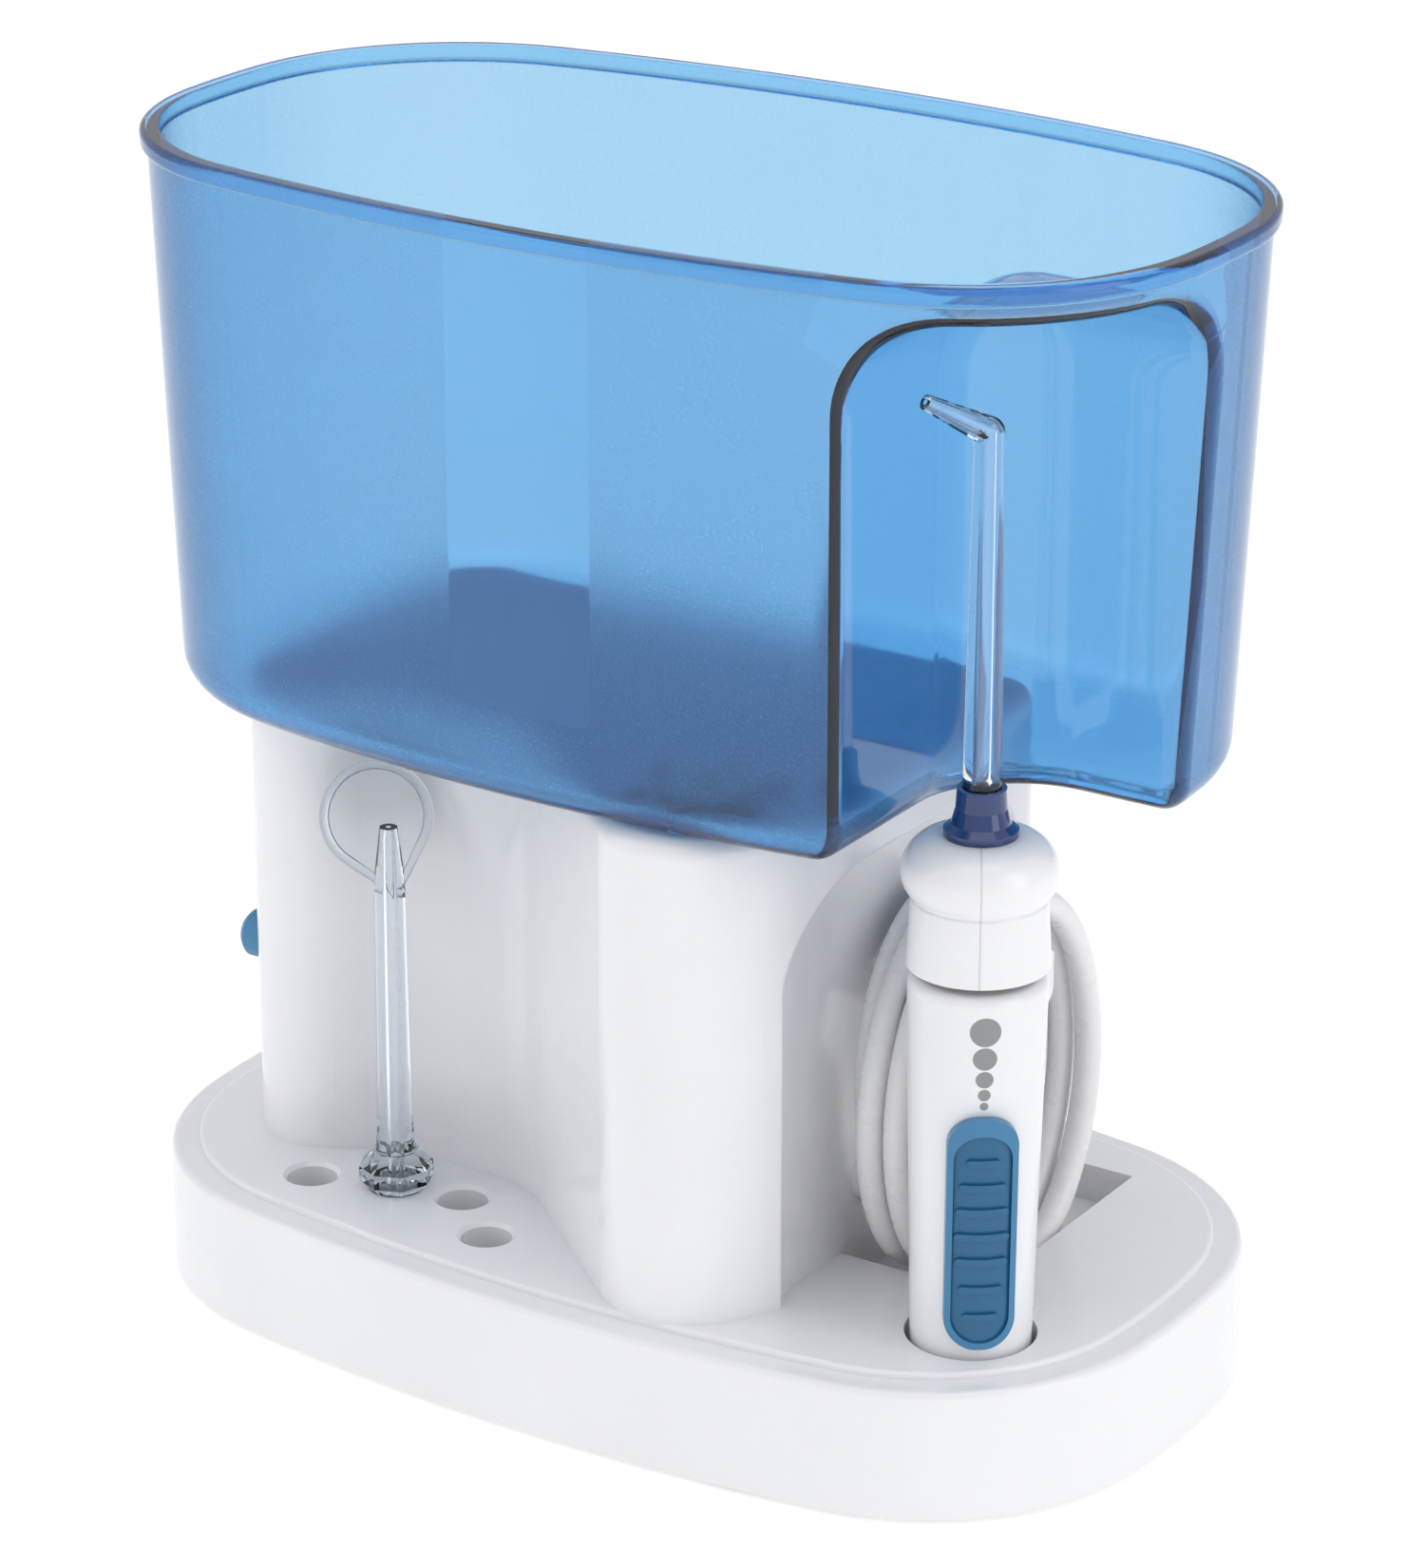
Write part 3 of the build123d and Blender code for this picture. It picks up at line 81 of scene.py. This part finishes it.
# Hose
HOSE_DIAMETER = 5 * MM
COIL_CENTRE = (5.0, 58.0)  # along Y and Z
COIL_INNER = (21.9, 30.4)  # half sizes of the inner layer's turns along Y and Z
COIL_OUTER = (27.0, 35.5)
COIL_START = 140.0  # degrees round from +Y where the lead runs into the coil
COIL_TURNS = 5.639
LAYER_CHANGE = (1.8, 2.3)  # turns between which the hose climbs to the outer layer
TURN_BACK = (2.0, 2.25)  # turns between which it stays beside the wall
INNER_START_X, INNER_PITCH = 57.6, 5.1
OUTER_END_X = 66.5
POINTS_PER_TURN = 24
LEAD_OUT = [(49.5, -6.0, 45.05), (49.5, -6.0, 54.5), (52.6, -9.0, 65.0)]
LEAD_IN = [(66.6, -1.4, 21.6), (67.98, -8.46, 20.0), (70.46, -14.58, 20.0)]

# Rounded bead round the tongue cleaner's teardrop, drawn in the scraper's own plane in millimetres
SPARE_PLACE = (-43.3, -36.0)
SPARE_FACING = math.radians(33.0)
SPARE_LEAN = math.radians(20.0)
SCRAPER_ROOT = (2.2, 86.0)  # out from the tube's axis, and height
DROP_CENTRE, DROP_RADIUS = (-2.6, 13.0), 9.55
DROP_TAIL = (1.2, -1.0)
BEAD_RADIUS = 0.95 * MM
BEAD_STEPS = 48

# Tank
WINDOW_X = (-14 * MM, 15 * MM)  # polished patch in the frosted front wall
WINDOW_FOOT = 136 * MM
WINDOW_ROUNDING = 3 * MM
WINDOW_EDGE = 0.2 * MM
FROST_FACE_Y = -50 * MM  # the window is only in front of this
NOTCH_X, NOTCH_Y = 59 * MM, 2 * MM  # the notch lies to the right of one and in front of the other
INWARD_LIMIT = 0.002  # a face looks inwards when its place times its normal is less than minus this
TANK_TINT = (0.88, 0.88, 0.92)
TANK_PASSES = (0.03, 0.66, 0.95)  # share of each colour that its volume lets by
TANK_DENSITY = 350.0
TANK_HAZE = 0.01
FROST_ROUGHNESS = 0.26
POLISHED_ROUGHNESS = 0.05


# ---------------------------------------------------------------- camera


def add_camera():
    data = bpy.data.cameras.new("camera")
    data.lens = CAMERA_LENS
    data.sensor_width = 36.0
    data.shift_x, data.shift_y = CAMERA_SHIFT
    data.clip_start = 0.05
    camera = bpy.data.objects.new("camera", data)
    bpy.context.scene.collection.objects.link(camera)
    level = math.cos(CAMERA_ELEVATION)
    across, away = math.sin(CAMERA_AZIMUTH) * level, -math.cos(CAMERA_AZIMUTH) * level
    back = Vector((across, away, math.sin(CAMERA_ELEVATION)))
    camera.location = CAMERA_TARGET + back * CAMERA_DISTANCE
    camera.rotation_euler = (-back).to_track_quat("-Z", "Y").to_euler()
    bpy.context.scene.camera = camera


# ---------------------------------------------------------------- hose


def smoothstep(low, high, value):
    share = min(1.0, max(0.0, (value - low) / (high - low)))
    return share * share * (3 - 2 * share)


def coil_x(turn):
    """How far from the wall the hose lies: inwards on the inner layer, outwards on the outer one."""
    wall_x = INNER_START_X - INNER_PITCH * TURN_BACK[0]
    if turn < TURN_BACK[0]:
        return INNER_START_X - INNER_PITCH * turn
    if turn < TURN_BACK[1]:
        return wall_x
    return wall_x + (OUTER_END_X - wall_x) * (turn - TURN_BACK[1]) / (COIL_TURNS - TURN_BACK[1])


def coil_points():
    """Control points of the coil; the spline cuts inside them, so they stand out a little."""
    stand_out = 2 / (1 + math.cos(2 * math.pi / POINTS_PER_TURN))
    count = round(COIL_TURNS * POINTS_PER_TURN)
    points = []
    for step in range(count + 1):
        turn = COIL_TURNS * step / count
        angle = math.radians(COIL_START - 360 * turn)
        outward = smoothstep(*LAYER_CHANGE, turn)
        half_y, half_z = (a + (b - a) * outward for a, b in zip(COIL_INNER, COIL_OUTER))
        y = COIL_CENTRE[0] + half_y * stand_out ** 0.5 * math.cos(angle)
        z = COIL_CENTRE[1] + half_z * stand_out ** 0.5 * math.sin(angle)
        points.append((coil_x(turn), y, z))
    return points


def hose_route():
    curve = bpy.data.curves.new("hose_route", "CURVE")
    curve.dimensions = "3D"
    curve.resolution_u = 6
    points = LEAD_OUT + coil_points() + LEAD_IN
    spline = curve.splines.new("NURBS")
    spline.points.add(len(points) - 1)
    for place, point in zip(spline.points, points):
        place.co = (*(value * MM for value in point), 1.0)
    spline.order_u = 3
    spline.use_endpoint_u = True
    return curve


def add_hose(finish):
    """The water hose as one tube."""
    curve = hose_route()
    line = bpy.data.objects.new("hose_line", curve)
    path = [vertex.co.copy() for vertex in bpy.data.meshes.new_from_object(line).vertices]
    curve.bevel_depth = HOSE_DIAMETER / 2
    curve.bevel_resolution = 6
    curve.use_fill_caps = True
    mesh = bpy.data.meshes.new_from_object(line)
    bpy.data.objects.remove(line)
    hose = bpy.data.objects.new("hose", mesh)
    bpy.context.scene.collection.objects.link(hose)
    mesh.polygons.foreach_set("use_smooth", [True] * len(mesh.polygons))
    mesh.materials.clear()
    mesh.materials.append(finish)
    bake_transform(hose)
    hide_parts("hose_coil", "hose_lead_out", "hose_lead_in")


# ---------------------------------------------------------------- tongue cleaner


def teardrop():
    """The teardrop's outline, from one tangent point round the circle to the other, and its tail."""
    across, up = DROP_TAIL[0] - DROP_CENTRE[0], DROP_TAIL[1] - DROP_CENTRE[1]
    towards = math.atan2(up, across)
    spread = math.acos(DROP_RADIUS / math.hypot(across, up))
    points = []
    for step in range(BEAD_STEPS + 1):
        angle = towards + spread + (2 * math.pi - 2 * spread) * step / BEAD_STEPS
        right, above = DROP_RADIUS * math.cos(angle), DROP_RADIUS * math.sin(angle)
        points.append((DROP_CENTRE[0] + right, DROP_CENTRE[1] + above))
    return points + [DROP_TAIL]


def scraper_place(across, up):
    """A point of the scraper's plane, which leans back and faces the way the spare tip does."""
    out = SCRAPER_ROOT[0] + up * math.sin(SPARE_LEAN)
    x = SPARE_PLACE[0] + across * math.cos(SPARE_FACING) - out * math.sin(SPARE_FACING)
    y = SPARE_PLACE[1] + across * math.sin(SPARE_FACING) + out * math.cos(SPARE_FACING)
    return Vector((x, y, SCRAPER_ROOT[1] + up * math.cos(SPARE_LEAN))) * MM


def add_scraper_bead(finish):
    """Round bead that the rim of the scraper ends in."""
    curve = bpy.data.curves.new("scraper_bead_route", "CURVE")
    curve.dimensions = "3D"
    points = [scraper_place(*point) for point in teardrop()]
    spline = curve.splines.new("POLY")
    spline.points.add(len(points) - 1)
    for place, point in zip(spline.points, points):
        place.co = (*point, 1.0)
    spline.use_cyclic_u = True
    curve.bevel_depth = BEAD_RADIUS
    curve.bevel_resolution = 5
    line = bpy.data.objects.new("scraper_bead_line", curve)
    mesh = bpy.data.meshes.new_from_object(line)
    bpy.data.objects.remove(line)
    bead = bpy.data.objects.new("scraper_bead", mesh)
    bpy.context.scene.collection.objects.link(bead)
    mesh.polygons.foreach_set("use_smooth", [True] * len(mesh.polygons))
    mesh.materials.clear()
    mesh.materials.append(finish)
    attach(bead, "spare_tip")


# ---------------------------------------------------------------- materials


class Finish:
    """A Principled material with short calls for the nodes that feed it."""

    def __init__(self, name, **settings):
        self.material = bpy.data.materials.new(name)
        self.material.use_nodes = True
        self.nodes = self.material.node_tree.nodes
        self.link = self.material.node_tree.links.new
        self.shader = self.nodes["Principled BSDF"]
        for socket, value in settings.items():
            self.shader.inputs[socket.replace("_", " ")].default_value = value
        self.place = self.nodes.new("ShaderNodeTexCoord").outputs["Object"]

    def noise(self, scale, detail=2.0, place=None):
        node = self.nodes.new("ShaderNodeTexNoise")
        node.inputs["Scale"].default_value = scale
        node.inputs["Detail"].default_value = detail
        self.link(place or self.place, node.inputs["Vector"])
        return node.outputs["Fac"]

    def math(self, operation, first, second=None, third=None):
        node = self.nodes.new("ShaderNodeMath")
        node.operation = operation
        for socket, value in zip(node.inputs, (first, second, third)):
            if isinstance(value, (int, float)):
                socket.default_value = value
            elif value is not None:
                self.link(value, socket)
        return node.outputs[0]

    def between(self, value, low, high, from_low=0.0, from_high=1.0):
        node = self.nodes.new("ShaderNodeMapRange")
        sockets = ("From Min", "From Max", "To Min", "To Max")
        for socket, number in zip(sockets, (from_low, from_high, low, high)):
            node.inputs[socket].default_value = number
        self.link(value, node.inputs["Value"])
        return node.outputs["Result"]

    def mix(self, share, first, second):
        node = self.nodes.new("ShaderNodeMix")
        node.data_type = "RGBA"
        self.link(share, node.inputs["Factor"])
        for socket, value in ((node.inputs[6], first), (node.inputs[7], second)):
            if isinstance(value, (tuple, list)):
                socket.default_value = (*value, 1.0)
            else:
                self.link(value, socket)
        return node.outputs[2]

    def colour(self, source):
        self.link(source, self.shader.inputs["Base Color"])

    def roughness(self, source):
        self.link(source, self.shader.inputs["Roughness"])

    def bump(self, height, distance, strength=1.0):
        node = self.nodes.new("ShaderNodeBump")
        node.inputs["Distance"].default_value = distance
        node.inputs["Strength"].default_value = strength
        self.link(height, node.inputs["Height"])
        self.link(node.outputs["Normal"], self.shader.inputs["Normal"])

    def turned(self, turn):
        """Place about the handle's axis, turned so that -Y is where the detail faces: its X, Y and Z."""
        shift = self.nodes.new("ShaderNodeVectorMath")
        shift.operation = "SUBTRACT"
        shift.inputs[1].default_value = HANDLE_AXIS
        self.link(self.place, shift.inputs[0])
        rotate = self.nodes.new("ShaderNodeVectorRotate")
        rotate.rotation_type = "Z_AXIS"
        rotate.inputs["Angle"].default_value = -turn
        self.link(shift.outputs[0], rotate.inputs["Vector"])
        split = self.nodes.new("ShaderNodeSeparateXYZ")
        self.link(rotate.outputs[0], split.inputs[0])
        return split.outputs["X"], split.outputs["Y"], split.outputs["Z"]

    def split(self):
        node = self.nodes.new("ShaderNodeSeparateXYZ")
        self.link(self.place, node.inputs[0])
        return node.outputs["X"], node.outputs["Y"], node.outputs["Z"]


def shade(colour, factor):
    return tuple(min(1.0, channel * factor) for channel in colour)


def moulded(name, colour, roughness, grain=0.004 * MM, grain_scale=2600, variation=0.03, **settings):
    """Moulded plastic: faint drift in colour and gloss, and a fine skin."""
    finish = Finish(name, **settings)
    drift = finish.noise(28, 3)
    finish.colour(finish.mix(finish.between(drift, 0, 1, 0.3, 0.7), shade(colour, 1 - variation), colour))
    finish.roughness(finish.between(finish.noise(140, 4), roughness * 0.85, roughness * 1.2, 0.3, 0.7))
    finish.bump(finish.noise(grain_scale, 2), grain)
    return finish



def white_plastic(name="white_abs"):
    return moulded(name, WHITE, 0.2, IOR=1.52, Coat_Weight=0.25, Coat_Roughness=0.06, Subsurface_Weight=0.08,
                   Subsurface_Scale=0.004)


def handle_plastic():
    """White plastic with five printed grey dots, growing upwards."""
    finish = white_plastic("handle_abs")
    across, depth, height = finish.turned(HANDLE_TURN)
    total = None
    for place, diameter in SCALE_DOTS:
        up = finish.math("SUBTRACT", height, place * MM)
        reach = finish.math("SQRT", finish.math("ADD", finish.math("MULTIPLY", across, across),
                                                finish.math("MULTIPLY", up, up)))
        radius = diameter / 2 * MM
        dot = finish.between(reach, 1, 0, radius - DOT_EDGE, radius + DOT_EDGE)
        total = dot if total is None else finish.math("MAXIMUM", total, dot)
    printed = finish.math("MULTIPLY", total, finish.math("LESS_THAN", depth, 0.0))
    plain = finish.shader.inputs["Base Color"].links[0].from_socket
    finish.colour(finish.mix(printed, plain, DOT_GREY))
    return finish


def knob_plastic():
    """White plastic with the mould's parting line up the knob."""
    finish = white_plastic("knob_abs")
    across, depth, height = finish.turned(PARTING_TURN)
    off_line = finish.math("ABSOLUTE", across)
    line = finish.between(off_line, 1, 0, PARTING_HALF_WIDTH * 0.4, PARTING_HALF_WIDTH * 1.6)
    plain = finish.shader.inputs["Base Color"].links[0].from_socket
    finish.colour(finish.mix(finish.math("MULTIPLY", line, 0.45), plain, shade(WHITE, 0.62)))
    grain = finish.noise(2600, 2)
    finish.bump(finish.math("ADD", finish.math("MULTIPLY", grain, 0.04), line), 0.1 * MM)
    return finish



def tank_plastic():
    """Tinted see-through plastic, polished outside and frosted inside, with a polished window and notch.

    The tint deepens with the thickness that light passes. It is one material, because a wall's two
    sides have to bound one volume.
    """
    finish = Finish("tank_tinted", Transmission_Weight=1.0 - TANK_HAZE, IOR=1.47)
    finish.colour(finish.mix(finish.noise(30, 2), shade(TANK_TINT, 0.97), TANK_TINT))
    x, y, z = finish.split()
    inner = finish.nodes.new("ShaderNodeAttribute")
    inner.attribute_name = "inner_side"
    off_window = finish.math("SUBTRACT", 1.0, window_patch(finish, x, y, z))
    frosted = finish.math("MULTIPLY", inner.outputs["Fac"], off_window)
    grain = finish.between(finish.noise(2200, 2), 0.8, 1.2, 0.3, 0.7)
    rough = finish.math("MULTIPLY", grain, FROST_ROUGHNESS)
    clear = finish.between(finish.noise(90, 3), POLISHED_ROUGHNESS * 0.8, POLISHED_ROUGHNESS * 1.3, 0.3, 0.7)
    finish.roughness(finish.math("ADD", clear, finish.math("MULTIPLY", frosted, rough)))
    absorb = finish.nodes.new("ShaderNodeVolumeAbsorption")
    absorb.inputs["Color"].default_value = (*TANK_PASSES, 1.0)
    absorb.inputs["Density"].default_value = TANK_DENSITY
    finish.link(absorb.outputs[0], finish.nodes["Material Output"].inputs["Volume"])
    return finish


def window_patch(finish, x, y, z):
    """1 inside the polished patch of the front wall, with two rounded lower corners."""
    middle = (WINDOW_X[0] + WINDOW_X[1]) / 2
    half = (WINDOW_X[1] - WINDOW_X[0]) / 2 - WINDOW_ROUNDING
    off_middle = finish.math("ABSOLUTE", finish.math("SUBTRACT", x, middle))
    side = finish.math("MAXIMUM", finish.math("SUBTRACT", off_middle, half), 0.0)
    foot = finish.math("MAXIMUM", finish.math("SUBTRACT", WINDOW_FOOT + WINDOW_ROUNDING, z), 0.0)
    squares = finish.math("ADD", finish.math("MULTIPLY", side, side), finish.math("MULTIPLY", foot, foot))
    reach = finish.math("SQRT", squares)
    patch = finish.between(reach, 1, 0, WINDOW_ROUNDING - WINDOW_EDGE, WINDOW_ROUNDING + WINDOW_EDGE)
    return finish.math("MULTIPLY", patch, finish.math("LESS_THAN", y, FROST_FACE_Y))


def clear_plastic(name, tint, density):
    finish = Finish(name, Transmission_Weight=1.0, IOR=1.5, Roughness=0.02, Base_Color=(*tint, 1.0))
    finish.roughness(finish.between(finish.noise(200, 3), 0.01, 0.05, 0.3, 0.7))
    absorb = finish.nodes.new("ShaderNodeVolumeAbsorption")
    absorb.inputs["Color"].default_value = (0.78, 0.84, 0.88, 1.0)
    absorb.inputs["Density"].default_value = density
    finish.link(absorb.outputs[0], finish.nodes["Material Output"].inputs["Volume"])
    return finish


def metal(name, colour, roughness):
    finish = Finish(name, Metallic=1.0)
    streaks = finish.noise(700, 4)
    finish.colour(finish.mix(streaks, shade(colour, 0.85), colour))
    finish.roughness(finish.between(streaks, roughness * 0.7, roughness * 1.3, 0.3, 0.7))
    finish.bump(finish.noise(1800, 2), 0.004 * MM)
    return finish


def make_finishes():
    return {
        "white_gloss": white_plastic(),
        "handle": handle_plastic(),
        "knob": knob_plastic(),
        "tank_blue": tank_plastic(),
        "slider_blue": moulded("slider_blue", (0.012, 0.12, 0.25), 0.3, grain=0.012 * MM, grain_scale=1500),
        "slider_frame": moulded("slider_frame", (0.045, 0.20, 0.38), 0.22),
        "collar_blue": moulded("collar_blue", (0.010, 0.034, 0.15), 0.12, Coat_Weight=0.5),
        "clear_tip": clear_plastic("clear_tip", (0.97, 0.985, 1.0), 90.0),
        "hose_white": moulded("hose_vinyl", HOSE_WHITE, 0.28, grain=0.004 * MM, grain_scale=900,
                              Subsurface_Weight=0.15, Subsurface_Scale=0.003),
        "grey_plastic": moulded("grey_plastic", (0.28, 0.285, 0.30), 0.4),
        "black_plastic": moulded("black_plastic", (0.02, 0.02, 0.022), 0.4),
        "natural_plastic": moulded("natural_plastic", (0.70, 0.68, 0.62), 0.38),
        "rubber_dark": moulded("rubber_dark", (0.03, 0.03, 0.032), 0.7, grain=0.03 * MM, grain_scale=1200),
        "rubber_blue": moulded("rubber_blue", (0.05, 0.22, 0.40), 0.42, grain=0.02 * MM, grain_scale=1400),
        "steel": metal("steel", (0.62, 0.62, 0.64), 0.3),
        "brass": metal("brass", (0.80, 0.58, 0.25), 0.3),
        "ferrite": moulded("ferrite", (0.05, 0.05, 0.055), 0.6, grain=0.03 * MM, grain_scale=1600),
        "tubing": moulded("tubing", (0.66, 0.66, 0.62), 0.35),
    }


OWN_FINISH = {
    "handle_barrel": "handle",
    "tip_knob": "knob",
    "pressure_slider": "slider_frame",
}


def dress_nodes(finishes):
    for entry in frame["record"]["subparts"]:
        name = entry["node"]
        finish = finishes[OWN_FINISH.get(name, entry["material_slot"])]
        mesh = nodes[name].data
        mesh.materials.clear()
        mesh.materials.append(finish.material)


def mark_inner_side():
    """Mark the tank's faces that look inwards, away from the notch, because those are frosted."""
    mesh = nodes["tank"].data
    marks = mesh.attributes.new("inner_side", "FLOAT", "FACE")
    for face in mesh.polygons:
        x, y, z = face.center
        in_notch = x > NOTCH_X and y < NOTCH_Y
        inwards = x * face.normal.x + y * face.normal.y < -INWARD_LIMIT
        marks.data[face.index].value = 1.0 if inwards and not in_notch else 0.0


def press_spring():
    """Gives the button's spring a mesh of its own."""
    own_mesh(nodes["button_spring"])


# ---------------------------------------------------------------- floor and light


def add_floor():
    mesh = bpy.data.meshes.new("floor")
    half = 6.0
    corners = [(-half, -half, 0), (half, -half, 0), (half, half, 0), (-half, half, 0)]
    mesh.from_pydata(corners, [], [(0, 1, 2, 3)])
    floor = bpy.data.objects.new("floor", mesh)
    bpy.context.scene.collection.objects.link(floor)
    finish = Finish("floor_white", Roughness=0.6)
    finish.colour(finish.mix(finish.noise(3, 2), (0.90, 0.90, 0.895), (0.92, 0.92, 0.915)))
    finish.shader.inputs["Emission Color"].default_value = (1, 1, 1, 1)
    finish.shader.inputs["Emission Strength"].default_value = 0.3
    mesh.materials.append(finish.material)


def add_softbox(name, place, size, power, aim=(0, 0, 0.1)):
    data = bpy.data.lights.new(name, "AREA")
    data.shape = "RECTANGLE"
    data.size, data.size_y = size
    data.energy = power
    light = bpy.data.objects.new(name, data)
    bpy.context.scene.collection.objects.link(light)
    light.location = place
    light.rotation_euler = (Vector(aim) - Vector(place)).to_track_quat("-Z", "Y").to_euler()


def add_light():
    world = bpy.data.worlds.new("studio")
    bpy.context.scene.world = world
    world.use_nodes = True
    background = world.node_tree.nodes["Background"]
    background.inputs["Color"].default_value = (0.97, 0.98, 1.0, 1.0)
    background.inputs["Strength"].default_value = 0.76
    add_softbox("left_box", (-1.3, -0.9, 0.9), (1.0, 1.4), 3.5)
    add_softbox("right_box", (1.5, -0.1, 0.7), (0.8, 1.2), 4.5)
    add_softbox("top_box", (0.2, -0.2, 1.8), (1.6, 1.2), 4.5)
    bpy.context.scene.view_settings.view_transform = "Standard"


# ---------------------------------------------------------------- make the scene

add_camera()
made = make_finishes()
add_hose(made["hose_white"].material)
add_scraper_bead(made["clear_tip"].material)
dress_nodes(made)
mark_inner_side()
press_spring()
add_floor()
add_light()
